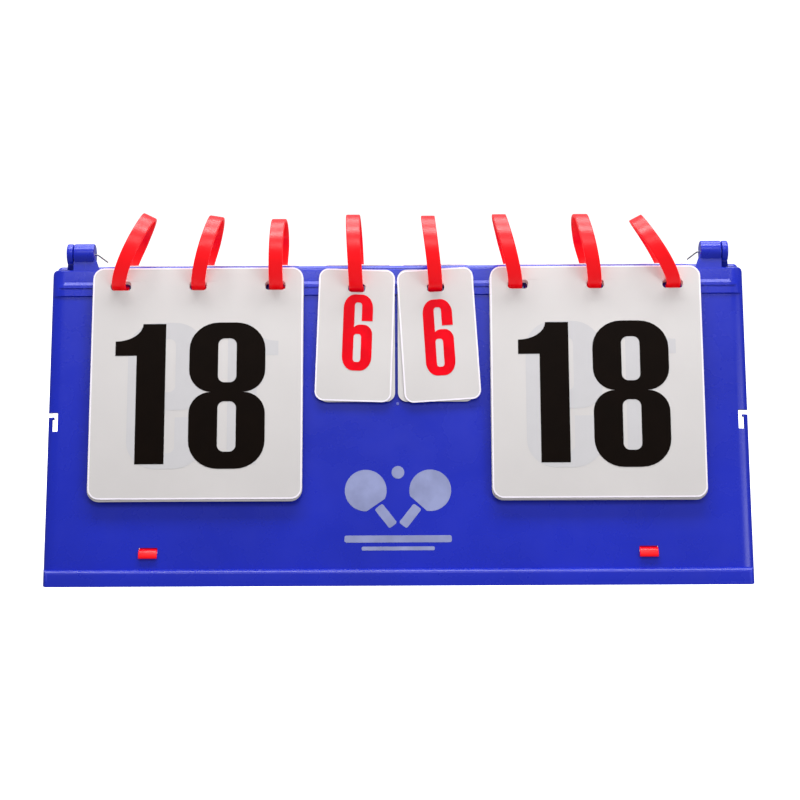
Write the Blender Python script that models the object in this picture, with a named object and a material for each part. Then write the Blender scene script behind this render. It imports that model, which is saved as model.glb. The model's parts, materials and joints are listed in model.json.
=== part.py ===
"""A folding flip scoreboard: two hinged panels, split rings and numbered cards that turn over the top.

Lengths are in metres. +X runs along the board, -Y is the front, +Z is up, and the origin is on the floor
below the hinge. A place on a panel is given as (x, down, out): down the slope from the hinge axis, and
outward from the plane through that axis.
"""

import math

import bmesh
import bpy
from mathutils import Matrix, Vector

OBJECT_NAME = "scoring_board"

# The A-frame.
LEG_ANGLE = math.radians(23.0)
AXIS_HEIGHT = 0.1669
PANEL_WIDTH = 0.380
PANEL_TOP = 0.0095
PANEL_FACE = 0.0036
PANEL_CORNER = 0.003
PANEL_EDGE_ROUND = 0.0012
SIDE_ROUND = 0.007
SIDE_THICKNESS = 0.0012
SIDE_STEPS = 7
WALL = 0.002
GAP = 0.0003

# The raised band that the rings pass through, with a long slope up to its face and a short one down from it.
BAND_DOWN = (0.0163, 0.0250)
BAND_FACE = 0.0046
BAND_FOOT = 0.0034
BAND_INSET = 0.0004
BAND_SLOPES = (0.0022, 0.0005)
BAND_GROOVE = (0.0201, 0.0211)
BAND_GROOVE_DEPTH = 0.0006

# The foot lip along the bottom edge.
LIP_TOP = 0.1754
LIP_FACE = 0.0086
LIP_INSET = 0.0008
LIP_ROUND = 0.0028
LIP_CAVITY = (0.1776, 0.1792)

# Stiffening ribs behind the panel.
RIB_THICKNESS = 0.0016
RIB_UPRIGHTS = (-0.0872, 0.0, 0.0872)
RIB_LEVELS = (0.060, 0.120)
RIB_OUT = 0.0004

# Hinge knuckles, the front panel's inside the rear one's, and the wire pins through them.
KNUCKLE_RADIUS = 0.006
KNUCKLE_ROUND = 0.0007
FRONT_KNUCKLE = (0.1673, 0.1787)
REAR_KNUCKLE = (0.1790, 0.1824)
FRONT_NECK_FLARE = -0.0034
REAR_NECK_FLARE = 0.0018
PIN_RADIUS = 0.0005
PIN_BORE_RADIUS = 0.0006
PIN_END = 0.1820
PIN_BEND = 0.1664
PIN_TAIL = (0.0060, -0.0042)

# Side notches: a mouth in the edge and a slot that runs down behind a finger with a hooked tip.
NOTCH_TOP = 0.0895
NOTCH_BOTTOM = 0.1000
NOTCH_MOUTH = 0.0026
NOTCH_FINGER = 0.0022
NOTCH_SLOT = 0.0032
NOTCH_HOOK = (0.0010, 0.0011)

# Split rings, centred on the hinge axis.
RING_PITCH = 0.0436
RING_RADIUS = 0.0219
RING_BAND = 0.0076
RING_THICKNESS = 0.0018
RING_SLOT = (0.0105, 0.0056)
RING_SLOT_DOWN = 0.0216
RING_SPLIT = math.radians(1.0)
RING_SEGMENTS = 44
RING_FOOT = -0.0152
LEAN_POWER = 1.35

# How each ring rests: its shift along the board, the lean of its top, how far its top is squashed down,
# how far its rear half turns aside, and the tilt of its band in degrees.
RING_POSES = (
    (0.0, 0.0157, 0.0012, 0.0012, -26.0),
    (0.0, 0.0092, 0.0017, 0.0015, -9.0),
    (-0.0009, 0.0010, 0.0034, 0.0010, 0.0),
    (-0.0008, -0.0017, 0.0012, 0.0, 0.0),
    (-0.0009, -0.0039, 0.0020, 0.0, 0.0),
    (-0.0007, -0.0084, 0.0014, -0.0010, 0.0),
    (-0.0010, -0.0068, 0.0015, -0.0022, 0.0),
    (-0.0013, -0.0195, 0.0036, 0.0, 28.0),
)

# Cards. A card's hole row is measured down from its top edge.
CARD_THICKNESS = 0.0004
HOLE_HEIGHT = 0.005
HOLE_ROUND = 0.002
ARC_STEPS = 5
LARGE_CARD = {"size": (0.115, 0.1281), "corner": 0.006, "hole_down": 0.0102}
LARGE_CARD.update({"holes": (-0.0423, 0.0, 0.0423), "widths": (0.0113, 0.0095, 0.0113)})
SMALL_CARD = {"size": (0.0416, 0.074), "corner": 0.005, "hole_down": 0.0105}
SMALL_CARD.update({"holes": (0.0,), "widths": (0.0095,)})

# How far out each stack reaches: its pack, then its top card after a gap.
PACK_BASE = BAND_FACE + GAP
LARGE_PACKS = {"front": 0.0030, "rear": 0.0015}
SMALL_PACKS = {"front": 0.0004, "rear": 0.0014}

# How far below the rings' circle the rear cards' holes hang.
REAR_HANG = 0.0008

# Each stack: its cards, its middle, its rings and how far its front card has swung round on its hole.
STACKS = {
    "large_left": (LARGE_CARD, LARGE_PACKS, -2.5 * RING_PITCH, (1, 2, 3), 0.0),
    "small_left": (SMALL_CARD, SMALL_PACKS, -0.5 * RING_PITCH - 0.0004, (4,), 2.0),
    "small_right": (SMALL_CARD, SMALL_PACKS, 0.5 * RING_PITCH - 0.0008, (5,), -3.4),
    "large_right": (LARGE_CARD, LARGE_PACKS, 2.5 * RING_PITCH - 0.0007, (6, 7, 8), 0.0),
}

# Straps that stop the legs from spreading.
STRAP_X = 0.134
STRAP_DOWN = 0.165
STRAP_WIDTH = 0.0096
STRAP_THICKNESS = 0.0016
STRAP_SLOT = (0.0101, 0.0030)
STRAP_HEAD = 0.0042
STRAP_HEAD_THICKNESS = 0.0018

BLUE = (0.022, 0.030, 0.48, 1.0)
RED = (0.85, 0.004, 0.012, 1.0)
CARD_WHITE = (0.74, 0.71, 0.71, 1.0)
STEEL = (0.55, 0.55, 0.53, 1.0)


def clear_scene():
    for obj in list(bpy.data.objects):
        bpy.data.objects.remove(obj, do_unlink=True)
    for collection in list(bpy.data.collections):
        bpy.data.collections.remove(collection)


def new_collection(name):
    collection = bpy.data.collections.new(name)
    bpy.context.scene.collection.children.link(collection)
    return collection


def principled(name, colour, roughness, metallic=0.0):
    """A plain Principled BSDF material."""
    material = bpy.data.materials.new(name)
    material.use_nodes = True
    shader = material.node_tree.nodes["Principled BSDF"]
    shader.inputs["Base Color"].default_value = colour
    shader.inputs["Roughness"].default_value = roughness
    shader.inputs["Metallic"].default_value = metallic
    return material


def blue_plastic(name):
    return principled(name, BLUE, 0.35)


def red_plastic(name):
    return principled(name, RED, 0.3)


def card_sheet(name):
    return principled(name, CARD_WHITE, 0.4)


def bright_steel(name):
    return principled(name, STEEL, 0.25, 1.0)


def new_object(name, mesh, collection):
    obj = bpy.data.objects.new(name, mesh)
    collection.objects.link(obj)
    return obj


def finished(mesh, material, smooth_degrees=35.0):
    """Gives a mesh its material, smooth round faces and sharp edges."""
    mesh.materials.clear()
    mesh.materials.append(material)
    mesh.shade_smooth()
    mesh.set_sharp_from_angle(angle=math.radians(smooth_degrees))


def place(obj, parent, location, rotation=(0.0, 0.0, 0.0)):
    obj.parent = parent
    obj.location = location
    obj.rotation_euler = rotation


def box(name, xs, downs, outs, collection):
    """A box on a panel, from its ranges of x, down and out."""
    bm = bmesh.new()
    bmesh.ops.create_cube(bm, size=1.0)
    low = Vector((min(xs), -max(outs), -max(downs)))
    high = Vector((max(xs), -min(outs), -min(downs)))
    for vert in bm.verts:
        vert.co = Vector(((low[i] + high[i]) / 2 + vert.co[i] * (high[i] - low[i])) for i in range(3))
    mesh = bpy.data.meshes.new(name)
    bm.to_mesh(mesh)
    bm.free()
    return new_object(name, mesh, collection)


def round_edges(obj, chosen, radius, segments):
    """Bevels the edges for which chosen(edge) holds."""
    bm = bmesh.new()
    bm.from_mesh(obj.data)
    edges = [edge for edge in bm.edges if chosen(edge)]
    bmesh.ops.bevel(bm, geom=edges, offset=radius, segments=segments, profile=0.5, affect="EDGES")
    bm.to_mesh(obj.data)
    bm.free()


def rims_outer_face(edge):
    """Whether an edge lies between the outward face and a side."""
    outward = [face.normal.y < -0.99 for face in edge.link_faces]
    return len(outward) == 2 and outward[0] != outward[1]


def x_cylinder(name, xs, radius, segments, collection):
    """A cylinder along the hinge axis."""
    bm = bmesh.new()
    bmesh.ops.create_cone(
        bm,
        cap_ends=True,
        segments=segments,
        radius1=radius,
        radius2=radius,
        depth=abs(xs[1] - xs[0]),
        matrix=Matrix.Translation(((xs[0] + xs[1]) / 2, 0.0, 0.0)) @ Matrix.Rotation(math.pi / 2, 4, "Y"),
    )
    mesh = bpy.data.meshes.new(name)
    bm.to_mesh(mesh)
    bm.free()
    return new_object(name, mesh, collection)


def shaped(base, steps):
    """The mesh of base after each step's (operation, tools). The base and the tools are used up."""
    for operation, tools in steps:
        for tool in tools:
            tool.hide_render = True
            tool.display_type = "WIRE"
            modifier = base.modifiers.new(tool.name, "BOOLEAN")
            modifier.operation = operation
            modifier.solver = "EXACT"
            modifier.object = tool
    mesh = evaluated_mesh(base)
    for obj in (base, *(tool for _, tools in steps for tool in tools)):
        bpy.data.objects.remove(obj, do_unlink=True)
    return mesh


def evaluated_mesh(obj):
    """The object's mesh with its modifiers applied and touching points welded."""
    bpy.context.view_layer.update()
    graph = bpy.context.evaluated_depsgraph_get()
    mesh = bpy.data.meshes.new_from_object(obj.evaluated_get(graph))
    bm = bmesh.new()
    bm.from_mesh(mesh)
    bmesh.ops.remove_doubles(bm, verts=bm.verts, dist=1e-6)
    bm.to_mesh(mesh)
    bm.free()
    return mesh


def extruded(name, outlines, depth, tools):
    """The mesh of a flat shape with holes, centred on its own plane. The first outline is the outer one."""
    curve = bpy.data.curves.new(name, "CURVE")
    curve.dimensions = "2D"
    curve.fill_mode = "BOTH"
    curve.extrude = depth / 2
    for outline in outlines:
        spline = curve.splines.new("POLY")
        spline.points.add(len(outline) - 1)
        spline.use_cyclic_u = True
        for point, (x, y) in zip(spline.points, outline):
            point.co = (x, y, 0.0, 1.0)
    flat = new_object(name, curve, tools)
    mesh = evaluated_mesh(flat)
    bpy.data.objects.remove(flat, do_unlink=True)
    return mesh


# The panels, which differ only in where their knuckles are.


def sheet_profile(half, face):
    """The outline (x, out) across a sheet whose outer face falls away in a quarter ellipse at each side."""
    points = [(half, 0.0)]
    drop = face - SIDE_THICKNESS
    for step in range(SIDE_STEPS + 1):
        angle = math.pi / 2 * step / SIDE_STEPS
        x = half - SIDE_ROUND * (1 - math.cos(angle))
        points.append((x, SIDE_THICKNESS + drop * math.sin(angle)))
    return points + [(-x, out) for x, out in reversed(points)]


def sheet(name, half, face, downs, tools):
    """A profiled sheet between two places down the slope."""
    outline = [(x, -out) for x, out in sheet_profile(half, face)]
    mesh = extruded(name, [outline], downs[1] - downs[0], tools)
    mesh.transform(Matrix.Translation((0.0, 0.0, -sum(downs) / 2)))
    return new_object(name, mesh, tools)


def panel_plate(tools):
    """The sheet with its rounded top corners and softened outer edges."""
    half = PANEL_WIDTH / 2
    downs = (PANEL_TOP, LIP_TOP + WALL)
    limits = box("limits", (-half, half), downs, (-WALL, PANEL_FACE), tools)

    def top_corner(edge):
        ends = [vert.co for vert in edge.verts]
        along_out = abs(ends[0].y - ends[1].y) > PANEL_FACE / 2
        return along_out and min(end.z for end in ends) > -PANEL_TOP - GAP

    round_edges(limits, top_corner, PANEL_CORNER, 5)
    round_edges(limits, rims_outer_face, PANEL_EDGE_ROUND, 3)
    plate = sheet("plate", half, PANEL_FACE, (PANEL_TOP - WALL, LIP_TOP + 2 * WALL), tools)
    return new_object("plate_shell", shaped(plate, (("INTERSECT", [limits]),)), tools)


def panel_lip(tools):
    """The rounded bar along the bottom, still reaching below the floor."""
    half = PANEL_WIDTH / 2 - LIP_INSET
    below_floor = AXIS_HEIGHT / math.cos(LEG_ANGLE) + 0.006
    lip = box("lip", (-half, half), (LIP_TOP, below_floor), (0.0, LIP_FACE), tools)
    round_edges(lip, rims_outer_face, LIP_ROUND, 4)
    return lip


def panel_band(tools):
    """A solid through outlines across the panel, from the band's top to its bottom."""
    half = PANEL_WIDTH / 2 - BAND_INSET
    foot = sheet_profile(half, BAND_FOOT)
    face = sheet_profile(half, BAND_FACE)
    top, bottom = BAND_DOWN
    rise, fall = BAND_SLOPES
    bm = bmesh.new()
    rows = []
    for down, outline in ((top, foot), (top + rise, face), (bottom - fall, face), (bottom, foot)):
        rows.append([bm.verts.new((x, -out, -down)) for x, out in outline])
    for near, far in zip(rows, rows[1:]):
        for i in range(len(near)):
            j = (i + 1) % len(near)
            bm.faces.new((near[i], near[j], far[j], far[i]))
    bm.faces.new(rows[0][::-1])
    bm.faces.new(rows[-1])
    bmesh.ops.recalc_face_normals(bm, faces=bm.faces)
    mesh = bpy.data.meshes.new("band")
    bm.to_mesh(mesh)
    bm.free()
    return new_object("band", mesh, tools)


def panel_knuckle(side, xs, flare, tools):
    """A knuckle and its neck, whose foot flares outward, or inward where flare is negative."""
    xs = (side * xs[0], side * xs[1])
    knuckle = x_cylinder("knuckle", xs, KNUCKLE_RADIUS, 28, tools)

    def end_rim(edge):
        on_end = [abs(face.normal.x) > 0.99 for face in edge.link_faces]
        return on_end[0] != on_end[1]

    round_edges(knuckle, end_rim, KNUCKLE_ROUND, 2)
    neck = box("neck", xs, (0.0012, PANEL_TOP + 0.0012), (0.0002, PANEL_FACE - 0.0002), tools)
    outermost = side * max(abs(x) for x in xs)
    innermost = side * min(abs(x) for x in xs)
    moving = outermost if flare > 0 else innermost
    for vert in neck.data.vertices:
        if vert.co.z < -PANEL_TOP and abs(vert.co.x - moving) < GAP:
            vert.co.x += side * flare
    return [knuckle, neck]


def panel_ribs(tools):
    """Uprights and cross ribs behind the sheet."""
    half = PANEL_WIDTH / 2 - WALL / 2
    outs = (RIB_OUT, WALL)
    ribs = []
    for x in RIB_UPRIGHTS:
        xs = (x - RIB_THICKNESS / 2, x + RIB_THICKNESS / 2)
        ribs.append(box("rib", xs, (PANEL_TOP + 0.001, LIP_TOP + 0.001), outs, tools))
    for down in RIB_LEVELS:
        downs = (down - RIB_THICKNESS / 2, down + RIB_THICKNESS / 2)
        ribs.append(box("rib", (-half, half), downs, outs, tools))
    return ribs


def panel_cavities(tools):
    """The open back of the sheet and of the lip."""
    half = PANEL_WIDTH / 2 - WALL
    behind = -0.01
    sheet_back = PANEL_FACE - WALL
    sheet_downs = (PANEL_TOP + WALL, LIP_CAVITY[0])
    return [
        box("cavity", (-half, half), sheet_downs, (behind, sheet_back), tools),
        box("lip_cavity", (-half, half), LIP_CAVITY, (behind, LIP_FACE - WALL), tools),
    ]


def panel_slots(tools):
    """The slots for rings and straps, and the groove along the band."""
    through = (-0.01, 0.02)
    cuts = []
    width, height = RING_SLOT
    for index in range(8):
        x = (index - 3.5) * RING_PITCH
        downs = (RING_SLOT_DOWN - height / 2, RING_SLOT_DOWN + height / 2)
        cuts.append(box("ring_slot", (x - width / 2, x + width / 2), downs, through, tools))
    width, height = STRAP_SLOT
    for x in (-STRAP_X, STRAP_X):
        downs = (STRAP_DOWN - height / 2, STRAP_DOWN + height / 2)
        cuts.append(box("strap_slot", (x - width / 2, x + width / 2), downs, through, tools))
    half = PANEL_WIDTH
    cuts.append(box("groove", (-half, half), BAND_GROOVE, (BAND_FACE - BAND_GROOVE_DEPTH, 0.02), tools))
    return cuts


def panel_notch(side, tools):
    """The L-shaped notch in one side edge."""
    through = (-0.01, 0.02)
    edge = PANEL_WIDTH / 2
    inner = edge - NOTCH_FINGER - NOTCH_SLOT
    hook, hook_height = NOTCH_HOOK
    tip = NOTCH_TOP + NOTCH_MOUTH
    mouth_xs = (side * inner, side * (edge + 0.01))
    throat_xs = (side * inner, side * (edge - NOTCH_FINGER - hook))
    slot_xs = (side * inner, side * (edge - NOTCH_FINGER))
    mouth = box("notch_mouth", mouth_xs, (NOTCH_TOP, tip), through, tools)
    throat = box("notch_throat", throat_xs, (tip - hook_height, tip + 2 * hook_height), through, tools)
    slot = box("notch_slot", slot_xs, (tip + hook_height, NOTCH_BOTTOM), through, tools)
    return [mouth, throat, slot]


def notch_surround(side, tools):
    """A solid pad behind the notch, so that its walls are closed."""
    edge = PANEL_WIDTH / 2
    inner = edge - NOTCH_FINGER - NOTCH_SLOT - WALL
    xs = (side * inner, side * (edge - WALL / 2))
    downs = (NOTCH_TOP - WALL, NOTCH_BOTTOM + WALL)
    return box("notch_surround", xs, downs, (RIB_OUT, WALL), tools)


def floor_cut(tools):
    """Everything below the floor, in the sloping panel's own axes."""
    floor = box("floor", (-PANEL_WIDTH, PANEL_WIDTH), (0.0, 0.05), (-0.15, 0.15), tools)
    turn = Matrix.Rotation(LEG_ANGLE, 4, "X")
    floor.data.transform(turn @ Matrix.Translation((0.0, 0.0, -AXIS_HEIGHT)))
    return floor


def panel_mesh(knuckle_xs, flare, tools):
    shell_steps = (("UNION", [panel_lip(tools)]), ("DIFFERENCE", panel_cavities(tools)))
    shell = new_object("shell", shaped(panel_plate(tools), shell_steps), tools)
    joined = [panel_band(tools), *panel_ribs(tools)]
    removed = [*panel_slots(tools), floor_cut(tools)]
    for side in (-1, 1):
        joined += [*panel_knuckle(side, knuckle_xs, flare, tools), notch_surround(side, tools)]
        removed += panel_notch(side, tools)
        removed.append(x_cylinder("bore", (side * 0.16, side * 0.19), PIN_BORE_RADIUS, 16, tools))
    return shaped(shell, (("UNION", joined), ("DIFFERENCE", removed)))


def make_panels(parts, tools):
    """The front panel and, turned round, the rear one. Both have their origin on the hinge axis."""
    kinds = (
        ("front", 0.0, FRONT_KNUCKLE, FRONT_NECK_FLARE),
        ("rear", math.pi, REAR_KNUCKLE, REAR_NECK_FLARE),
    )
    panels = {}
    for name, turn, knuckle_xs, flare in kinds:
        panel = new_object(f"{name}_panel", panel_mesh(knuckle_xs, flare, tools), parts)
        finished(panel.data, blue_plastic(f"{name}_panel_blue"))
        place(panel, None, (0.0, 0.0, AXIS_HEIGHT), (-LEG_ANGLE, 0.0, turn))
        panels[name] = panel
    return panels


# Hinge pins.


def curve_object(name, points, radius, collection):
    """A round wire along points, with closed ends, as a mesh."""
    curve = bpy.data.curves.new(name, "CURVE")
    curve.dimensions = "3D"
    curve.bevel_depth = radius
    curve.bevel_resolution = 2
    curve.use_fill_caps = True
    spline = curve.splines.new("POLY")
    spline.points.add(len(points) - 1)
    for point, place_at in zip(spline.points, points):
        point.co = (*place_at, 1.0)
    wire = new_object(name, curve, collection)
    mesh = evaluated_mesh(wire)
    bpy.data.objects.remove(wire, do_unlink=True)
    return mesh


def pin_points(side):
    """From the outer end along the axis, round a small bend and down the tail."""
    inward, drop = PIN_TAIL
    points = [(side * PIN_END, 0.0, 0.0), (side * (PIN_END + PIN_BEND) / 2, 0.0, 0.0)]
    steps = 4
    slope = math.atan2(drop, inward)
    bend = 0.0016
    for step in range(steps + 1):
        angle = slope * step / steps
        x = PIN_BEND - bend * math.sin(-angle)
        points.append((side * x, 0.0, -bend * (1 - math.cos(angle))))
    points.append((side * (PIN_BEND - inward), 0.0, drop))
    return points


def make_pins(parts, tools):
    for name, side in (("left", -1), ("right", 1)):
        mesh = curve_object(f"hinge_pin_{name}", pin_points(side), PIN_RADIUS, tools)
        pin = new_object(f"hinge_pin_{name}", mesh, parts)
        finished(pin.data, bright_steel(f"hinge_pin_{name}_steel"))
        place(pin, None, (0.0, 0.0, AXIS_HEIGHT))


# Split rings.


def ring_centre(angle, pose):
    """The band's middle at an angle from the top, and its share of the lean."""
    _, lean, drop, turn, _ = pose
    y = -RING_RADIUS * math.sin(angle)
    z = RING_RADIUS * math.cos(angle)
    if z > 0:
        z *= 1 - drop / RING_RADIUS
    rise = max(0.0, (z - RING_FOOT) / (RING_RADIUS - drop - RING_FOOT))
    share = rise**LEAN_POWER
    aside = turn * max(0.0, y / RING_RADIUS) * min(1.0, 2 * rise)
    return Vector((lean * share + aside, y, z)), share


def ring_section(angle, pose):
    """The four corners of the band's section at an angle from the top."""
    centre, share = ring_centre(angle, pose)
    step = 0.01
    ahead = ring_centre(angle + step, pose)[0] - ring_centre(angle - step, pose)[0]
    ahead.normalize()
    across = Vector((1.0, 0.0, 0.0))
    across = (across - ahead * across.dot(ahead)).normalized()
    across = Matrix.Rotation(math.radians(pose[-1]) * share, 3, ahead) @ across
    outward = across.cross(ahead)
    return [
        centre + across * (a * RING_BAND / 2) + outward * (b * RING_THICKNESS / 2)
        for a, b in ((-1, -1), (1, -1), (1, 1), (-1, 1))
    ]


def ring_mesh(name, pose):
    """A flat band swept round the hinge axis, open at the split, leaning over towards the top."""
    bm = bmesh.new()
    start = -math.pi + RING_SPLIT
    sweep = 2 * (math.pi - RING_SPLIT)
    rows = []
    for index in range(RING_SEGMENTS + 1):
        corners = ring_section(start + sweep * index / RING_SEGMENTS, pose)
        rows.append([bm.verts.new(corner) for corner in corners])
    for near, far in zip(rows, rows[1:]):
        for i in range(4):
            j = (i + 1) % 4
            bm.faces.new((near[i], near[j], far[j], far[i]))
    bm.faces.new(rows[0][::-1])
    bm.faces.new(rows[-1])
    bmesh.ops.recalc_face_normals(bm, faces=bm.faces)
    mesh = bpy.data.meshes.new(name)
    bm.to_mesh(mesh)
    bm.free()
    return mesh


def make_rings(numbers, carrier, parts):
    for number in numbers:
        name = f"ring_{number}"
        pose = RING_POSES[number - 1]
        ring = new_object(name, ring_mesh(name, pose), parts)
        finished(ring.data, red_plastic(f"{name}_red"))
        place(ring, carrier, ((number - 4.5) * RING_PITCH + pose[0], 0.0, 0.0))


# Cards.


def rounded_outline(middle, size, radius):
    """The points round a rectangle with round corners."""
    points = []
    for quarter in range(4):
        sign_x = (1, -1, -1, 1)[quarter]
        sign_y = (1, 1, -1, -1)[quarter]
        corner_x = middle[0] + sign_x * (size[0] / 2 - radius)
        corner_y = middle[1] + sign_y * (size[1] / 2 - radius)
        for step in range(ARC_STEPS + 1):
            angle = math.pi / 2 * (quarter + step / ARC_STEPS)
            points.append((corner_x + radius * math.cos(angle), corner_y + radius * math.sin(angle)))
    return points


def card_mesh(name, card, thickness, tools):
    """A card or a pack of them, upright, with its hole row at height 0 and its middle plane at y = 0."""
    height = card["size"][1]
    outlines = [rounded_outline((0.0, card["hole_down"] - height / 2), card["size"], card["corner"])]
    for x, hole_width in zip(card["holes"], card["widths"]):
        outlines.append(rounded_outline((x, 0.0), (hole_width, HOLE_HEIGHT), HOLE_ROUND))
    mesh = extruded(name, outlines, thickness, tools)
    mesh.transform(Matrix.Rotation(math.pi / 2, 4, "X"))
    return mesh


def hole_down(out):
    """How far down the slope the rings pass at a distance out."""
    return math.sqrt(RING_RADIUS**2 - out**2)


def top_out(thickness):
    """How far out the middle of a top card lies over a pack of this thickness."""
    return PACK_BASE + thickness + GAP + CARD_THICKNESS / 2


def hang_sheets(name, card, x, out, thickness, side, panels, parts, tools):
    """A pack, or a top card that doesn't move from its panel, with its middle plane this far out."""
    mesh = card_mesh(name, card, thickness, tools)
    sheets = new_object(name, mesh, parts)
    finished(sheets.data, card_sheet(f"{name}_sheet"))
    hang = REAR_HANG if side == "rear" else 0.0
    place(sheets, panels[side], (x, -out, -hole_down(out) - hang))


def make_front_card(name, card, thickness, swing, carrier, x, parts, tools):
    """The top card, which has its origin on its pivot in the rings and hangs on the rings' carrier."""
    out = top_out(thickness)
    slope = Matrix.Rotation(-LEG_ANGLE, 4, "X")
    pivot = slope @ Vector((0.0, -out, -hole_down(out)))
    turn = slope @ Matrix.Rotation(math.radians(swing), 4, "Y")
    top = new_object(name, card_mesh(name, card, CARD_THICKNESS, tools), parts)
    finished(top.data, card_sheet(f"{name}_sheet"))
    place(top, carrier, (x, pivot.y, pivot.z), turn.to_euler())


def make_stack(name, panels, parts, tools):
    """One stack: its rings and front card on a carrier on the hinge axis, its packs and its rear card."""
    card, packs, x, ring_numbers, swing = STACKS[name]
    carrier = new_object(f"{name}_travel", None, parts)
    place(carrier, None, (0.0, 0.0, AXIS_HEIGHT))
    make_rings(ring_numbers, carrier, parts)
    make_front_card(f"front_card_{name}", card, packs["front"], swing, carrier, x, parts, tools)
    for side, side_x in (("front", x), ("rear", -x)):
        thickness = packs[side]
        pack_out = PACK_BASE + thickness / 2
        hang_sheets(f"{side}_pack_{name}", card, side_x, pack_out, thickness, side, panels, parts, tools)
    card_out = top_out(packs["rear"])
    hang_sheets(f"rear_card_{name}", card, -x, card_out, CARD_THICKNESS, "rear", panels, parts, tools)


# Spread straps.


def strap_outline():
    """The strap's outline in (y, z): level between the panels, with a hook down the outside of each."""
    slot_out = PANEL_FACE - WALL / 2
    level = -STRAP_DOWN * math.cos(LEG_ANGLE) + slot_out * math.sin(LEG_ANGLE)
    half = STRAP_THICKNESS / 2

    def on_slope(z, out):
        """The distance in front of the axis at a height, on a plane that far out from the panel's."""
        down = (out * math.sin(LEG_ANGLE) - z) / math.cos(LEG_ANGLE)
        return down * math.sin(LEG_ANGLE) + out * math.cos(LEG_ANGLE)

    near = PANEL_FACE + GAP
    far = near + STRAP_HEAD_THICKNESS
    low = level + half - STRAP_HEAD
    side = [
        (on_slope(level - half, near), level - half),
        (on_slope(low, near), low),
        (on_slope(low, far), low),
        (on_slope(level + half, far), level + half),
    ]
    return [(-y, z) for y, z in side] + [(y, z) for y, z in reversed(side)]


def strap_mesh(name, tools):
    """The outline, drawn flat and extruded to the strap's width, then stood up along Y."""
    mesh = extruded(name, [strap_outline()], STRAP_WIDTH, tools)
    mesh.transform(Matrix.Rotation(math.pi / 2, 4, "Z") @ Matrix.Rotation(math.pi / 2, 4, "X"))
    return mesh


def make_straps(parts, tools):
    for name, x in (("left", -STRAP_X), ("right", STRAP_X)):
        strap = new_object(f"spread_strap_{name}", strap_mesh(f"spread_strap_{name}", tools), parts)
        finished(strap.data, red_plastic(f"spread_strap_{name}_red"))
        place(strap, None, (x, 0.0, AXIS_HEIGHT))


def main():
    clear_scene()
    parts = new_collection(OBJECT_NAME)
    tools = new_collection("cutters")
    panels = make_panels(parts, tools)
    make_pins(parts, tools)
    for name in STACKS:
        make_stack(name, panels, parts, tools)
    make_straps(parts, tools)


main()
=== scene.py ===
"""The looks of a folding flip scoreboard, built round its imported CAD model.

Lengths are in metres. A place on a panel is (x, up, out): along the hinge, up the slope from the
hinge axis, and outward from the plane through that axis. A place on a card is the same, measured
from its hole row.
"""

import json
import math
import random
from typing import NamedTuple

import bmesh
import bpy
from mathutils import Matrix, Vector


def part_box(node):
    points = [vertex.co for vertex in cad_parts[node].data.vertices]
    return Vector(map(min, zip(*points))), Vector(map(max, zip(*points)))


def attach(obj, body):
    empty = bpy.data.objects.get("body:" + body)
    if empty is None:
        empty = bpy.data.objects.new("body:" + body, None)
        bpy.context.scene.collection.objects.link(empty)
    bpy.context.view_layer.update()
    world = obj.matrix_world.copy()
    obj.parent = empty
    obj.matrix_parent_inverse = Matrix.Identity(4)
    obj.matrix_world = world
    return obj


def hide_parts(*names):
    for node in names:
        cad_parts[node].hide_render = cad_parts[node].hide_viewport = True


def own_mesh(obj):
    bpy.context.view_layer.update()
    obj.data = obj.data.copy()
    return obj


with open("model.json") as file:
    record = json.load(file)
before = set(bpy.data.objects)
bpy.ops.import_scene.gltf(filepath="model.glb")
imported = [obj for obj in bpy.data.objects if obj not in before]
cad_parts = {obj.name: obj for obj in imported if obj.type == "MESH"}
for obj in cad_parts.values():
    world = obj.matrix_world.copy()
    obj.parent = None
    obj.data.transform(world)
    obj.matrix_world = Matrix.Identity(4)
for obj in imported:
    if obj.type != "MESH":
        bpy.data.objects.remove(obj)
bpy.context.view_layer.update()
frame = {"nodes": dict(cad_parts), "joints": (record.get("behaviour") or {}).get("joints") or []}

MM = 0.001
ARC_STEPS = 8
SAME_PLACE = 1e-6

# How far the card packs stand off the panels' faces.
PACK_STANDOFF = 0.0013

# Cards.
CARD_THICKNESS = 0.0004
# How wide the band along a card's edge is, which is painted lighter as a highlight.
CARD_HIGHLIGHT_BAND = 0.0008
CARD_CELL = 0.006
HOLE_HEIGHT = 0.005
HOLE_ROUND = 0.002
SHEET_EDGE_ANGLE = math.radians(50)

# Each kind of card: how far its corners are rounded, and its holes' places and widths.
CARDS = {
    "large": {
        "corner": 0.006,
        "holes": (-0.0423, 0.0, 0.0423),
        "widths": (0.0113, 0.0095, 0.0113),
    },
    "small": {"corner": 0.005, "holes": (0.0,), "widths": (0.0095,)},
}

# A top card's bow, and the shares of it down the card's middle and at its lower corners.
BOW = {"large": 0.0006, "small": 0.0004}
BOW_DOWN = 0.75
BOW_ACROSS = 0.35

# A pack's loose sheets: how many, how much of its own layer each fills, and how far each lies off.
PACK_SHEETS = {"front_large": 12, "rear_large": 6, "front_small": 1, "rear_small": 5}
SHEET_FILL = 0.84
SHEET_SLIP = 0.0004
SHEET_TURN = math.radians(0.15)

# Each stack: the kind of its cards, and the degrees its front card has swung round on its hole.
STACKS = {
    "large_left": ("large", 0.0),
    "small_left": ("small", 2.0),
    "small_right": ("small", -3.4),
    "large_right": ("large", 0.0),
}

# Prints. A digit is drawn in millimetres, in a box of this size, and scaled to each card.
DIGIT_SIZE = (41.3, 80.7)
INK_THICKNESS = 0.00004
INK_GAP = 0.00003

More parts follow.
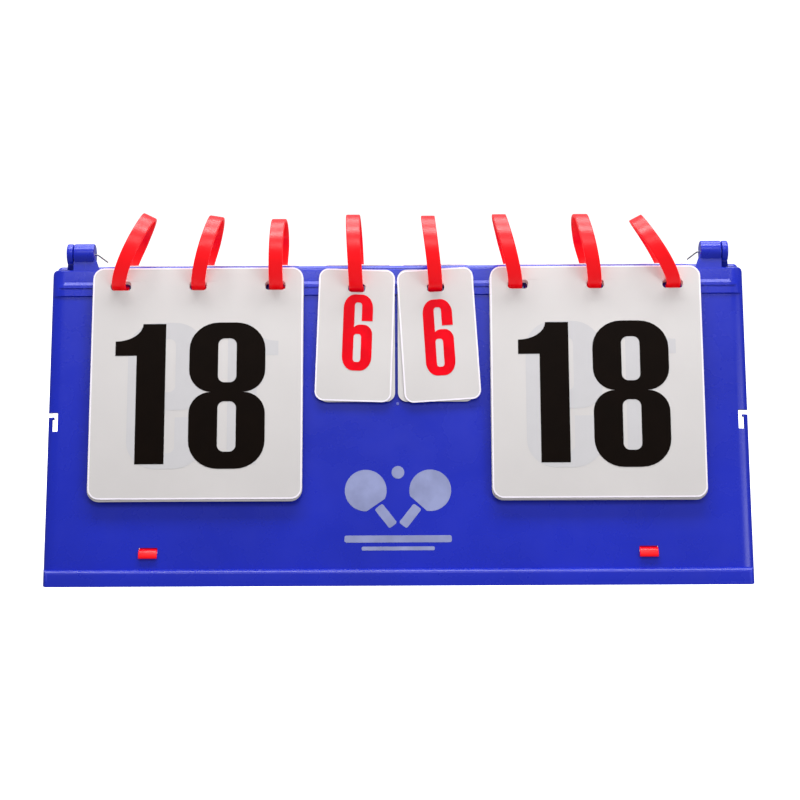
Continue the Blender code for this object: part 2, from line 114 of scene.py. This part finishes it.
# Each kind of card: its digits' size, their place from its upper left corner, and its two numbers.
PRINTS = {
    "large": {
        "top": 0.0310,
        "lefts": (0.0132, 0.0535),
        "size": (0.0413, 0.0807),
        "now": "18",
        "next": "19",
    },
    "small": {
        "top": 0.0151,
        "lefts": (0.01275,),
        "size": (0.0161, 0.0427),
        "now": "6",
        "next": "7",
    },
}

# How far each front card is printed off that place, across and up.
FRONT_PRINT_SHIFT = {
    "large_left": (0.0, 0.0),
    "small_left": (0.0013, 0.0008),
    "small_right": (0.0, -0.0022),
    "large_right": (0.0015, 0.0),
}

# Rings: how round their edges are, and how sharp an edge has to be, in radians.
RING_ROUND = 0.00045
RING_SHARP = 1.0

# Spread straps.
STRAP_THICKNESS = 0.0014
STRAP_ROUND = 0.0005
STRAP_EXTRA = 0.0004
STRAP_CLEARANCE = 0.0003
STRAP_FOOT_LIFT = 0.0002
STRAP_BEND = 0.0014
STRAP_SAG = 0.006
STRAP_SAG_STEPS = 16

# Edges sharper than this stay sharp on the panels and pins.
CAD_SHARP_ANGLE = math.radians(28)

# The emblem printed low on each panel. Its shapes are in its own units, across and up.
EMBLEM_DOWN = 0.1365
EMBLEM_SCALE = 1.15 * MM
BAT_TILT = 38
BAT_FOOT = (3.4, -12.0)
BLADE_CENTRE = (0.0, 19.0)
BLADE_RADIUS = 9.8
BLADE_ARC = (math.radians(-62), math.radians(242))
GRIP_BOX = (-2.3, -2.0, 2.3, 9.4, 1.0)
BALL_CENTRE = (0.0, 11.5)
BALL_RADIUS = 3.0
BARS = ((-25.0, -21.5, 25.0, -18.2, 1.0), (-17.0, -25.2, 17.0, -23.4, 0.6))

# The mark that the moulding's gate leaves on each panel.
GATE_DOWN = 0.0856
GATE_RADIUS = 0.0008
GATE_FLATTENING = 0.45

# Materials: where nearly all of a noise's values lie, and where a ramp's two shades stand.
NOISE_RANGE = (0.3, 0.7)
SHADE_STOPS = (0.35, 0.65)

# The studio.
FLOOR_RADIUS = 4.0
FLOOR_GLOW = 0.72
BACKDROP_RADIUS = 12.0
BACKDROP_GLOW = 1.0
SKY_STRENGTH = 0.37

# Each light: its place, the point it faces, its width and depth, and its power in watts.
LIGHTS = {
    "overhead": ((0.0, -0.04, 0.95), (0.0, 0.0, 0.1), (0.9, 0.2), 7.6),
    "front_top": ((0.0, -0.75, 0.95), (0.0, 0.0, 0.15), (0.8, 0.3), 3.2),
    "behind": ((0.0, 0.4, 0.85), (0.0, 0.0, 0.19), (0.9, 0.4), 5.0),
    "front_right": ((1.1, -1.2, 0.6), (0.0, 0.0, 0.1), (0.6, 0.6), 5.2),
}

# The camera: its lens in millimetres, and its turns down, sideways and about its axis in degrees.
CAMERA_LENS = 83.2
CAMERA_SENSOR = 36.0
CAMERA_PLACE = (0.0071, -1.0192, 0.2972)
CAMERA_TURNS = (11.82, -0.34, -0.35)


def joint(name):
    return next(j for j in frame["joints"] if j["name"] == name)


def panel_lean():
    """How far a panel leans from upright, from the largest face of a pack that lies on it."""
    polygons = frame["nodes"]["front_pack_large_left"].data.polygons
    normal = max(polygons, key=lambda polygon: polygon.area).normal
    return math.atan2(abs(normal.z), abs(normal.y))


HINGE = Vector(joint("frame_fold")["pos_m"])
LEAN = panel_lean()
FRONT = Matrix.Translation(HINGE) @ Matrix.Rotation(math.pi / 2 - LEAN, 4, "X")
SIDES = {"front": FRONT, "rear": Matrix.Rotation(math.pi, 4, "Z") @ FRONT}


def extents(node, side):
    """The lowest and highest (x, up, out) of a CAD node on one side's panel."""
    back = SIDES[side].inverted()
    points = [back @ vert.co for vert in frame["nodes"][node].data.vertices]
    low = Vector(min(point[i] for point in points) for i in range(3))
    high = Vector(max(point[i] for point in points) for i in range(3))
    return low, high


PANEL_FACE = extents("front_pack_large_left", "front")[0].z - PACK_STANDOFF


def card_pivot(stack):
    """Where a stack's front card hangs, in (x, up, out)."""
    return FRONT.inverted() @ Vector(joint(f"{stack}_card_pivot")["pos_m"])


def hole_down(stack):
    """How far a stack's hole row lies below the top edge of its cards."""
    _, swing = STACKS[stack]
    turn = Matrix.Rotation(math.radians(swing), 4, "Z")
    back = turn @ Matrix.Translation(-card_pivot(stack)) @ FRONT.inverted()
    return max((back @ vert.co).y for vert in frame["nodes"][f"front_card_{stack}"].data.vertices)


# Materials.


class Nodes:
    """A material's node tree, with short ways to add and join nodes."""

    def __init__(self, name, roughness, specular=0.5, metallic=0.0):
        self.material = bpy.data.materials.new(name)
        self.material.use_nodes = True
        self.tree = self.material.node_tree
        self.shader = self.tree.nodes["Principled BSDF"]
        self.shader.inputs["Roughness"].default_value = roughness
        self.shader.inputs["Specular IOR Level"].default_value = specular
        self.shader.inputs["Metallic"].default_value = metallic
        self.place = self.add("ShaderNodeTexCoord").outputs["Object"]

    def add(self, kind, **settings):
        node = self.tree.nodes.new(kind)
        for name, value in settings.items():
            setattr(node, name, value)
        return node

    def join(self, output, socket):
        self.tree.links.new(output, socket)

    def noise(self, scale, detail=2.0, stretch=None):
        """Noise with so many features a metre."""
        node = self.add("ShaderNodeTexNoise")
        node.inputs["Scale"].default_value = scale
        node.inputs["Detail"].default_value = detail
        place = self.place
        if stretch:
            mapping = self.add("ShaderNodeMapping")
            mapping.inputs["Scale"].default_value = stretch
            self.join(place, mapping.inputs["Vector"])
            place = mapping.outputs["Vector"]
        self.join(place, node.inputs["Vector"])
        return node.outputs["Fac"]

    def ramp(self, value, stops):
        """Colours along a value, from (position, colour) stops."""
        node = self.add("ShaderNodeValToRGB")
        elements = node.color_ramp.elements
        while len(elements) < len(stops):
            elements.new(0.5)
        for element, (position, colour) in zip(elements, stops):
            element.position = position
            element.color = (*colour, 1.0)
        self.join(value, node.inputs["Fac"])
        return node.outputs["Color"]

    def spread(self, value, low, high):
        """A noise value mapped to a range."""
        node = self.add("ShaderNodeMapRange")
        node.inputs["From Min"].default_value = NOISE_RANGE[0]
        node.inputs["From Max"].default_value = NOISE_RANGE[1]
        node.inputs["To Min"].default_value = low
        node.inputs["To Max"].default_value = high
        self.join(value, node.inputs["Value"])
        return node.outputs["Result"]

    def colours(self, value, stops):
        self.join(self.ramp(value, stops), self.shader.inputs["Base Color"])

    def roughness(self, value, low, high):
        self.join(self.spread(value, low, high), self.shader.inputs["Roughness"])

    def glow(self, colour, strength):
        self.shader.inputs["Emission Color"].default_value = (*colour, 1.0)
        self.shader.inputs["Emission Strength"].default_value = strength

    def bump(self, *layers):
        """Layers of (noise, height in metres), from coarse to fine."""
        normal = None
        for value, height in layers:
            node = self.add("ShaderNodeBump")
            node.inputs["Distance"].default_value = height
            self.join(value, node.inputs["Height"])
            if normal:
                self.join(normal, node.inputs["Normal"])
            normal = node.outputs["Normal"]
        self.join(normal, self.shader.inputs["Normal"])


def shades(colour, amount):
    """Two stops, a little darker and a little lighter than a colour."""
    low = tuple(c * (1 - amount) for c in colour)
    high = tuple(min(1.0, c * (1 + amount)) for c in colour)
    return list(zip(SHADE_STOPS, (low, high)))


def moulded_blue():
    nodes = Nodes("blue_moulded_plastic", roughness=0.26, specular=0.4)
    nodes.colours(nodes.noise(14, 3.0), shades((0.005, 0.018, 0.48), 0.07))
    nodes.roughness(nodes.noise(60, 4.0), 0.24, 0.32)
    nodes.bump((nodes.noise(22, 1.0), 0.00025), (nodes.noise(700, 2.0), 0.000012))
    return nodes.material


def red_plastic_with_painted_glow():
    nodes = Nodes("red_plastic_painted_glow", roughness=0.32, specular=0.4)
    nodes.colours(nodes.noise(60, 2.0), shades((0.97, 0.0, 0.006), 0.03))
    nodes.roughness(nodes.noise(180, 3.0), 0.28, 0.37)
    nodes.bump((nodes.noise(90, 1.0), 0.0001), (nodes.noise(1200, 2.0), 0.00001))
    # Painted light: the red plastic of the rings and straps glows, so it looks brighter than the
    # lamps light it.
    nodes.glow((1.0, 0.0, 0.004), 0.3)
    return nodes.material


def card_plastic():
    nodes = Nodes("card_white_sheet", roughness=0.42)
    nodes.colours(nodes.noise(16, 4.0), shades((0.665, 0.637, 0.634), 0.03))
    nodes.roughness(nodes.noise(90, 4.0), 0.36, 0.5)
    nodes.bump((nodes.noise(35, 1.0), 0.00012), (nodes.noise(1600, 2.0), 0.00001))
    return nodes.material


def painted_card_edge_highlight():
    nodes = Nodes("card_edge_painted_highlight", roughness=0.35)
    # Painted highlight: the cut edge and the border along it are a bright lilac white, and glow a
    # little.
    nodes.glow((0.93, 0.88, 1.0), 0.04)
    nodes.colours(nodes.noise(120, 3.0), shades((0.93, 0.88, 0.97), 0.04))
    nodes.bump((nodes.noise(500, 2.0), 0.00002))
    return nodes.material


def ink(name, colour, roughness, mottle=0.12):
    """A print with hardly any shine, whose colour varies by the mottle."""
    nodes = Nodes(name, roughness, specular=0.05)
    nodes.colours(nodes.noise(70, 4.0), shades(colour, mottle))
    nodes.roughness(nodes.noise(160, 4.0), roughness - 0.06, roughness + 0.08)
    nodes.bump((nodes.noise(1400, 2.0), 0.000008))
    return nodes.material


def drawn_steel():
    nodes = Nodes("steel_wire", roughness=0.28, metallic=1.0)
    nodes.colours(nodes.noise(300, 3.0, (0.1, 1.0, 1.0)), shades((0.30, 0.295, 0.29), 0.18))
    nodes.roughness(nodes.noise(900, 3.0, (0.05, 1.0, 1.0)), 0.2, 0.38)
    return nodes.material


# Shapes.


def rounded(corners):
    """The points of a closed outline.

    A corner is (x, y), or (x, y, cut), or (x, y, cut before, cut after).
    """
    points = []
    for index, (x, y, *cuts) in enumerate(corners):
        here = Vector((x, y))
        if not cuts:
            points.append(here)
            continue
        before = (Vector(corners[index - 1][:2]) - here).normalized() * cuts[0]
        after = (Vector(corners[(index + 1) % len(corners)][:2]) - here).normalized() * cuts[-1]
        for step in range(ARC_STEPS + 1):
            angle = math.pi / 2 * step / ARC_STEPS
            points.append(here + before * (1 - math.sin(angle)) + after * (1 - math.cos(angle)))
    return points


def rounded_box(left, bottom, right, top, cut):
    return rounded([(left, bottom, cut), (right, bottom, cut), (right, top, cut), (left, top, cut)])


def circle(centre, radius, start=0.0, end=math.tau, steps=40):
    """The points of a circle, or of an arc that its chord closes."""
    return [
        Vector(centre) + radius * Vector((math.cos(angle), math.sin(angle)))
        for angle in (start + (end - start) * step / steps for step in range(steps))
    ]


def filled(outlines):
    """A flat mesh that fills the outlines, leaving out those that lie inside another."""
    curve = bpy.data.curves.new("outline", "CURVE")
    curve.dimensions = "2D"
    curve.fill_mode = "BOTH"
    for outline in outlines:
        spline = curve.splines.new("POLY")
        spline.points.add(len(outline) - 1)
        spline.use_cyclic_u = True
        for point, place in zip(spline.points, outline):
            point.co = (place[0], place[1], 0.0, 1.0)
    holder = bpy.data.objects.new("outline", curve)
    bpy.context.scene.collection.objects.link(holder)
    bpy.context.view_layer.update()
    graph = bpy.context.evaluated_depsgraph_get()
    mesh = bpy.data.meshes.new_from_object(holder.evaluated_get(graph))
    bpy.data.objects.remove(holder)
    bpy.data.curves.remove(curve)
    return mesh


def welded(meshes):
    """One bmesh of flat meshes, facing up. Each mesh's place in the list is its material slot."""
    bm = bmesh.new()
    for slot, mesh in enumerate(meshes):
        first = len(bm.faces)
        bm.from_mesh(mesh)
        bm.faces.ensure_lookup_table()
        for face in bm.faces[first:]:
            face.material_index = slot
            face.normal_update()
            if face.normal.z < 0:
                face.normal_flip()
        bpy.data.meshes.remove(mesh)
    bmesh.ops.remove_doubles(bm, verts=bm.verts, dist=SAME_PLACE)
    return bm


def gridded(bm, cell):
    """Cuts a flat mesh along the lines of a grid, so that it can bend."""
    for axis in (0, 1):
        places = [vert.co[axis] for vert in bm.verts]
        line = math.floor(min(places) / cell) + 1
        while line * cell < max(places):
            at = Vector((0.0, 0.0, 0.0))
            at[axis] = line * cell
            along = Vector((0.0, 0.0, 0.0))
            along[axis] = 1.0
            geometry = bm.verts[:] + bm.edges[:] + bm.faces[:]
            bmesh.ops.bisect_plane(
                bm, geom=geometry, dist=SAME_PLACE, plane_co=at, plane_no=along
            )
            line += 1


def lifted(bm, lift):
    """Raises each point by lift(x, y)."""
    for vert in bm.verts:
        vert.co.z += lift(vert.co.x, vert.co.y)


def piece(name, bm, materials, matrix, body=None, stands_for=()):
    """A new object from a bmesh. It rides on a body, unless it is part of the stage."""
    mesh = bpy.data.meshes.new(name)
    bm.to_mesh(mesh)
    bm.free()
    for material in materials:
        mesh.materials.append(material)
    mesh.shade_smooth()
    obj = bpy.data.objects.new(name, mesh)
    bpy.context.scene.collection.objects.link(obj)
    obj.matrix_world = matrix
    if body:
        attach(obj, body)
    if stands_for:
        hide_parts(*stands_for)
    return obj


def thicken(obj, thickness, rim_slot=0):
    """Gives a sheet its thickness, half on each side, and keeps its cut edge sharp."""
    solid = obj.modifiers.new("thickness", "SOLIDIFY")
    solid.thickness = thickness
    solid.offset = 0.0
    solid.material_offset_rim = rim_slot
    split = obj.modifiers.new("sharp_edge", "EDGE_SPLIT")
    split.split_angle = SHEET_EDGE_ANGLE


# Digits, in millimetres across and down from the corner of their own box.


def one():
    return [[
        (14.9, 0.7), (27.4, 0.7), (27.4, 78.1), (11.6, 78.1),
        (11.6, 18.4), (0.0, 18.4), (0.0, 10.4), (14.9, 10.4, 14.9, 9.7),
    ]]


def eight():
    wide, tall = DIGIT_SIZE
    waist = 38.6
    outer = [
        (0.0, 0.0, 15.0, 16.0), (wide, 0.0, 16.0, 15.0),
        (wide, waist, 12.3, 12.0), (wide - 12.0, waist), (wide, waist, 12.0, 11.8),
        (wide, tall, 15.3, 16.0), (0.0, tall, 16.0, 15.3),
        (0.0, waist, 11.8, 12.0), (12.0, waist), (0.0, waist, 12.0, 12.3),
    ]
    return [outer, counter(15.65, 8.9, 25.65, 33.3), counter(15.65, 43.8, 25.65, 71.4)]


def counter(left, top, right, bottom):
    """The opening in a round digit."""
    cut = 3.6
    return [(left, top, cut), (right, top, cut), (right, bottom, cut), (left, bottom, cut)]


def six():
    wide, tall = DIGIT_SIZE
    outer = [
        (0.0, 0.0, 15.0, 16.0), (wide, 0.0, 16.0, 15.0), (wide, 28.2), (25.95, 28.2),
        (25.95, 8.6, 3.6), (15.65, 8.6, 3.6), (15.65, 34.8), (20.0, 32.1, 3.0),
        (wide, 32.1, 12.8, 10.4), (wide, tall, 15.0, 16.0), (0.0, tall, 16.0, 15.0),
    ]
    return [outer, counter(15.3, 42.1, 25.9, 71.6)]


def seven():
    wide, tall = DIGIT_SIZE
    return [[
        (0.0, 0.0), (wide, 0.0), (wide, 12.5), (24.5, tall),
        (7.5, tall), (23.8, 12.3), (0.0, 12.3),
    ]]


def nine():
    """A six turned upside down."""
    wide, tall = DIGIT_SIZE
    return [[(wide - x, tall - y, *cuts) for x, y, *cuts in outline] for outline in six()]


DIGITS = {"1": one, "6": six, "7": seven, "8": eight, "9": nine}


def number_outlines(text, print_of, size, shift, mirrored=False):
    """A number's outlines on a card, from the card's hole row."""
    scale = [length / design for length, design in zip(print_of["size"], DIGIT_SIZE)]
    sign = -1 if mirrored else 1
    outlines = []
    for digit, left in zip(text, print_of["lefts"]):
        for corners in DIGITS[digit]():
            outline = []
            for x, down in rounded(corners):
                across = left + shift[0] + x * scale[0] - size.width / 2
                up = size.hole_down - print_of["top"] + shift[1] - down * scale[1]
                outline.append((sign * across, up))
            outlines.append(outline)
    return outlines


def decal(name, outlines, ink_material, matrix, body, height, lift=None):
    """A thin closed layer of ink, at a height over a card's middle or a panel's plane."""
    bm = welded([filled(outlines)])
    if lift:
        gridded(bm, CARD_CELL)
        lifted(bm, lift)
    lifted(bm, lambda x, y: height)
    obj = piece(name, bm, [ink_material], matrix, body)
    thicken(obj, INK_THICKNESS)
    return obj


# Cards.


class CardSize(NamedTuple):
    """A card's width, its height and how far its hole row is below its top edge."""

    width: float
    height: float
    hole_down: float


def card_size(stack):
    low, high = extents(f"rear_card_{stack}", "rear")
    return CardSize(high.x - low.x, high.y - low.y, hole_down(stack))


def card_outlines(kind, size, inset=0.0):
    """A card's edge, drawn in by an inset, and the outlines of its holes."""
    card = CARDS[kind]
    half = size.width / 2 - inset
    low, high = size.hole_down - size.height + inset, size.hole_down - inset
    edge = rounded_box(-half, low, half, high, card["corner"] - inset)
    tall = HOLE_HEIGHT / 2
    holes = [
        rounded_box(x - width / 2, -tall, x + width / 2, tall, HOLE_ROUND)
        for x, width in zip(card["holes"], card["widths"])
    ]
    return edge, holes


def bow_of(kind, size):
    """How far a loose card stands out: a soft bow down it, and its lower corners turned out."""

    def lift(x, up):
        down = (size.hole_down - up) / size.height
        across = 2 * x / size.width
        middle = math.sin(math.pi * min(1.0, max(0.0, down))) * BOW_DOWN
        return BOW[kind] * (middle + BOW_ACROSS * down * across**4)

    return lift


def card_bmesh(kind, size):
    """A card with a narrow border along its cut edge, in slot 1, painted lighter as a highlight."""
    edge, holes = card_outlines(kind, size)
    inner = card_outlines(kind, size, CARD_HIGHLIGHT_BAND)[0]
    bm = welded([filled([inner, *holes]), filled([edge, inner])])
    gridded(bm, CARD_CELL)
    return bm


def make_card(side, stack, matrix, body):
    """A top card with the score on its outer face and the next number on its inner one."""
    kind, _ = STACKS[stack]
    size = card_size(stack)
    name = f"{side}_{stack}"
    lift = bow_of(kind, size)
    bm = card_bmesh(kind, size)
    lifted(bm, lift)
    node = f"{side}_card_{stack}"
    # Slot 1, the border and the cut edge, takes the painted highlight.
    card = piece(f"{name}_card", bm, [CARD, PAINTED_EDGE_HIGHLIGHT], matrix, body, [node])
    thicken(card, CARD_THICKNESS, rim_slot=1)
    print_of = PRINTS[kind]
    shift = FRONT_PRINT_SHIFT[stack] if side == "front" else (0.0, 0.0)
    face = CARD_THICKNESS / 2 + INK_GAP + INK_THICKNESS / 2
    over_faint = face + INK_THICKNESS * 2
    colour = BLACK_INK if kind == "large" else RED_INK
    now = number_outlines(print_of["now"], print_of, size, shift)
    back = number_outlines(print_of["next"], print_of, size, shift, mirrored=True)
    decal(f"{name}_number", now, colour, matrix, body, over_faint, lift)
    decal(f"{name}_back_number", back, colour, matrix, body, -face, lift)
    if kind == "large":
        decal(f"{name}_show_through", back, FAINT_INK, matrix, body, face, lift)


def make_pack(side, stack):
    """The cards below a top card: loose sheets, with the next number on the outermost."""
    kind, _ = STACKS[stack]
    size = card_size(stack)
    node = f"{side}_pack_{stack}"
    low, high = extents(node, side)
    count = PACK_SHEETS[f"{side}_{kind}"]
    pitch = (high.z - low.z) / count
    body = f"{side}_frame"
    edge, holes = card_outlines(kind, size)
    flat = welded([filled([edge, *holes])])
    mesh = bpy.data.meshes.new("sheet")
    flat.to_mesh(mesh)
    flat.free()
    bm = bmesh.new()
    draw = random.Random(node)
    for index in range(count):
        outermost = index == count - 1
        slip = 0.0 if outermost else SHEET_SLIP
        across, up = draw.uniform(-slip, slip), draw.uniform(-slip, slip)
        place = Matrix.Translation((across, up, pitch * (index + 0.5)))
        turn = Matrix.Rotation(draw.uniform(-SHEET_TURN, SHEET_TURN) * (not outermost), 4, "Z")
        moved = mesh.copy()
        moved.transform(place @ turn)
        bm.from_mesh(moved)
        bpy.data.meshes.remove(moved)
    bpy.data.meshes.remove(mesh)
    origin = Vector(((low.x + high.x) / 2, high.y - size.hole_down, low.z))
    matrix = SIDES[side] @ Matrix.Translation(origin)
    pack = piece(f"{node}_sheets", bm, [CARD], matrix, body, [node])
    thicken(pack, pitch * SHEET_FILL)
    print_of = PRINTS[kind]
    outlines = number_outlines(print_of["next"], print_of, size, (0.0, 0.0))
    colour = BLACK_INK if kind == "large" else RED_INK
    face = pitch * (count - 0.5 + SHEET_FILL / 2) + INK_GAP + INK_THICKNESS / 2
    decal(f"{node}_number", outlines, colour, matrix, body, face)


def make_cards():
    for stack, (_, swing) in STACKS.items():
        turn = Matrix.Rotation(math.radians(-swing), 4, "Z")
        hung = FRONT @ Matrix.Translation(card_pivot(stack)) @ turn
        make_card("front", stack, hung, f"{stack}_card")
        low, high = extents(f"rear_card_{stack}", "rear")
        origin = Vector(((low.x + high.x) / 2, high.y - hole_down(stack), (low.z + high.z) / 2))
        make_card("rear", stack, SIDES["rear"] @ Matrix.Translation(origin), "rear_frame")
        for side in SIDES:
            make_pack(side, stack)


# Rings, straps, panels and pins.


def make_rings():
    """Round-edged rings. A hoop that turns in itself looks still, so they ride the front panel."""
    for number in range(1, 9):
        node = f"ring_{number}"
        bm = bmesh.new()
        bm.from_mesh(frame["nodes"][node].data)
        bmesh.ops.remove_doubles(bm, verts=bm.verts, dist=SAME_PLACE)
        bmesh.ops.join_triangles(
            bm, faces=bm.faces, angle_face_threshold=0.7, angle_shape_threshold=1.2, cmp_seam=False
        )
        sharp = [
            edge for edge in bm.edges if edge.is_manifold and edge.calc_face_angle() > RING_SHARP
        ]
        bmesh.ops.bevel(
            bm, geom=sharp, offset=RING_ROUND, segments=3, profile=0.5, affect="EDGES"
        )
        ring = piece(f"{node}_hoop", bm, [RED], Matrix(), "front_frame", [node])
        round_off = ring.modifiers.new("round", "SUBSURF")
        round_off.levels = 1
        round_off.render_levels = 1


def swept(points, wide, thick, cut):
    """A band with a round-edged section along points in (y, z), closed at both ends."""
    section = rounded_box(-wide / 2, -thick / 2, wide / 2, thick / 2, cut)
    bm = bmesh.new()
    rows = []
    for index, here in enumerate(points):
        before = points[max(0, index - 1)]
        after = points[min(len(points) - 1, index + 1)]
        along = (after - before).normalized()
        outward = Vector((-along.y, along.x))
        row = []
        for x, out in section:
            place = here + outward * out
            row.append(bm.verts.new((x, place.x, place.y)))
        rows.append(row)
    for near, far in zip(rows, rows[1:]):
        for i in range(len(section)):
            j = (i + 1) % len(section)
            bm.faces.new((near[i], near[j], far[j], far[i]))
    bm.faces.new(rows[0][::-1])
    bm.faces.new(rows[-1])
    bmesh.ops.recalc_face_normals(bm, faces=bm.faces)
    return bm


def strap_path(low, high):
    """The front half of a strap in (y, z).

    It returns the hook, up the panel's face and in to the slot, and half of the sag inside.
    """
    level = high.z - STRAP_THICKNESS / 2

    def on_panel(z, out):
        up = (z - HINGE.z - out * math.sin(LEAN)) / math.cos(LEAN)
        return Vector((up * math.sin(LEAN) - out * math.cos(LEAN), z))

    face = PANEL_FACE + STRAP_THICKNESS / 2 + STRAP_CLEARANCE
    foot = on_panel(low.z + STRAP_FOOT_LIFT, face + STRAP_CLEARANCE)
    shoulder = on_panel(level, face)
    inside = on_panel(level, 0.0)
    corner = [
        shoulder
        + (foot - shoulder).normalized() * STRAP_BEND * (1 - math.sin(angle))
        + (inside - shoulder).normalized() * STRAP_BEND * (1 - math.cos(angle))
        for angle in (math.pi / 2 * step / ARC_STEPS for step in range(ARC_STEPS + 1))
    ]
    sag = []
    for step in range(STRAP_SAG_STEPS + 1):
        y = inside.x * (1 - step / STRAP_SAG_STEPS)
        sag.append(Vector((y, level - STRAP_SAG * (1 - (y / inside.x) ** 2))))
    return [foot, (foot * 2 + shoulder) / 3, *corner, sag[0]], sag


def mirrored_path(points):
    """The same path on the rear side, from its far end."""
    return [Vector((-point.x, point.y)) for point in reversed(points)]


def make_straps():
    """Straps in three pieces: a hook on each panel, and a band that sags between them."""
    for side in ("left", "right"):
        node = f"spread_strap_{side}"
        low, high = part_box(node)
        hook, sag = strap_path(low, high)
        wide = high.x - low.x + STRAP_EXTRA
        at = Matrix.Translation(((low.x + high.x) / 2, 0.0, 0.0))
        paths = {
            "front_hook": (hook, "front_frame"),
            "rear_hook": (mirrored_path(hook), "rear_frame"),
            "band": (sag + mirrored_path(sag[:-1]), "front_frame"),
        }
        made = {}
        for name, (points, body) in paths.items():
            bm = swept(points, wide, STRAP_THICKNESS, STRAP_ROUND)
            made[name] = piece(f"{node}_{name}", bm, [RED], at, body, [node])
        band = made["band"]
        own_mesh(band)


def carry_over(node, material):
    """Keeps a CAD node's shape, with a material, smooth round faces and sharp edges."""
    obj = frame["nodes"][node]
    obj.data.materials.clear()
    obj.data.materials.append(material)
    obj.data.polygons.foreach_set("use_smooth", [True] * len(obj.data.polygons))
    weld = obj.modifiers.new("weld", "WELD")
    weld.merge_threshold = SAME_PLACE
    split = obj.modifiers.new("sharp_edges", "EDGE_SPLIT")
    split.split_angle = CAD_SHARP_ANGLE
    normals = obj.modifiers.new("normals", "WEIGHTED_NORMAL")
    normals.mode = "FACE_AREA_WITH_ANGLE"
    normals.keep_sharp = True


def bat(sign):
    """A tilted table-tennis bat: a blade whose chord stands off its handle."""
    turn = Matrix.Rotation(math.radians(-BAT_TILT * sign), 2)
    blade = circle(BLADE_CENTRE, BLADE_RADIUS, *BLADE_ARC)
    grip = rounded_box(*GRIP_BOX)
    foot = Vector((BAT_FOOT[0] * sign, BAT_FOOT[1]))
    return [[foot + turn @ point for point in outline] for outline in (blade, grip)]


def make_prints():
    """The emblem and the gate mark, on both panels."""
    bars = [rounded_box(*bar) for bar in BARS]
    shapes = [*bat(1), *bat(-1), circle(BALL_CENTRE, BALL_RADIUS), *bars]
    outlines = [[point * EMBLEM_SCALE for point in shape] for shape in shapes]
    for side, matrix in SIDES.items():
        body = f"{side}_frame"
        at = matrix @ Matrix.Translation((0.0, -EMBLEM_DOWN, PANEL_FACE))
        decal(f"{side}_emblem", outlines, SILVER_INK, at, body, INK_GAP + INK_THICKNESS / 2)
        bm = bmesh.new()
        bmesh.ops.create_uvsphere(bm, u_segments=24, v_segments=12, radius=GATE_RADIUS)
        bmesh.ops.scale(bm, vec=(1.0, 1.0, GATE_FLATTENING), verts=bm.verts)
        gate_at = matrix @ Matrix.Translation((0.0, -GATE_DOWN, PANEL_FACE))
        piece(f"{side}_gate_mark", bm, [GATE], gate_at, body)


# Stage, light and camera.


def glowing_white(name, strength):
    """A white that gives off light of its own, barely mottled."""
    nodes = Nodes(name, roughness=0.7, specular=0.2)
    nodes.colours(nodes.noise(3, 2.0), shades((0.93, 0.93, 0.93), 0.004))
    nodes.glow((1.0, 1.0, 1.0), strength)
    return nodes.material


def make_stage():
    """A pale floor and a white backdrop, neither of which lights the board, and a softer sky."""
    bm = bmesh.new()
    bmesh.ops.create_circle(bm, cap_ends=True, segments=96, radius=FLOOR_RADIUS)
    floor = piece("studio_floor", bm, [glowing_white("studio_floor", FLOOR_GLOW)], Matrix())
    floor.visible_diffuse = False
    floor.visible_glossy = False
    bm = bmesh.new()
    bmesh.ops.create_uvsphere(bm, u_segments=48, v_segments=24, radius=BACKDROP_RADIUS)
    white = glowing_white("studio_backdrop", BACKDROP_GLOW)
    backdrop = piece("studio_backdrop", bm, [white], Matrix())
    for ray in ("diffuse", "glossy", "transmission", "volume_scatter", "shadow"):
        setattr(backdrop, f"visible_{ray}", False)
    world = bpy.data.worlds.new("studio")
    bpy.context.scene.world = world
    world.use_nodes = True
    background = world.node_tree.nodes["Background"]
    background.inputs["Color"].default_value = (1.0, 1.0, 1.0, 1.0)
    background.inputs["Strength"].default_value = SKY_STRENGTH


def area_light(name, place, target, size, power):
    """A rectangular light at a place, facing a target."""
    light = bpy.data.lights.new(name, "AREA")
    light.shape = "RECTANGLE"
    light.size, light.size_y = size
    light.energy = power
    obj = bpy.data.objects.new(name, light)
    bpy.context.scene.collection.objects.link(obj)
    place = Vector(place)
    look = (Vector(target) - place).to_track_quat("-Z", "Y")
    obj.matrix_world = Matrix.Translation(place) @ look.to_matrix().to_4x4()


def make_camera():
    """A long lens a metre away, a little above the board."""
    data = bpy.data.cameras.new("camera")
    data.lens = CAMERA_LENS
    data.sensor_width = CAMERA_SENSOR
    camera = bpy.data.objects.new("camera", data)
    bpy.context.scene.collection.objects.link(camera)
    pitch, yaw, roll = (math.radians(angle) for angle in CAMERA_TURNS)
    turn = Matrix.Rotation(-yaw, 4, "Z")
    tilt = Matrix.Rotation(math.pi / 2 - pitch, 4, "X") @ Matrix.Rotation(roll, 4, "Z")
    camera.matrix_world = Matrix.Translation(CAMERA_PLACE) @ turn @ tilt
    bpy.context.scene.camera = camera


BLUE = moulded_blue()
RED = red_plastic_with_painted_glow()
CARD = card_plastic()
PAINTED_EDGE_HIGHLIGHT = painted_card_edge_highlight()
STEEL = drawn_steel()
BLACK_INK = ink("black_ink", (0.0045, 0.002, 0.001), 0.45)
RED_INK = ink("red_ink", (0.85, 0.002, 0.012), 0.32)
FAINT_INK = ink("faint_print", (0.618, 0.605, 0.625), 0.42, 0.015)
SILVER_INK = ink("silver_ink", (0.30, 0.33, 0.56), 0.35)
# The gate mark is a lighter blue than the panel: a painted highlight on its small dome.
GATE = ink("gate_mark", (0.20, 0.22, 0.62), 0.3)

for panel in ("front_panel", "rear_panel"):
    carry_over(panel, BLUE)
for pin in ("hinge_pin_left", "hinge_pin_right"):
    carry_over(pin, STEEL)
make_cards()
make_rings()
make_straps()
make_prints()
make_stage()
for light_name, settings in LIGHTS.items():
    area_light(light_name, *settings)
make_camera()
bpy.context.scene.view_settings.view_transform = "Standard"
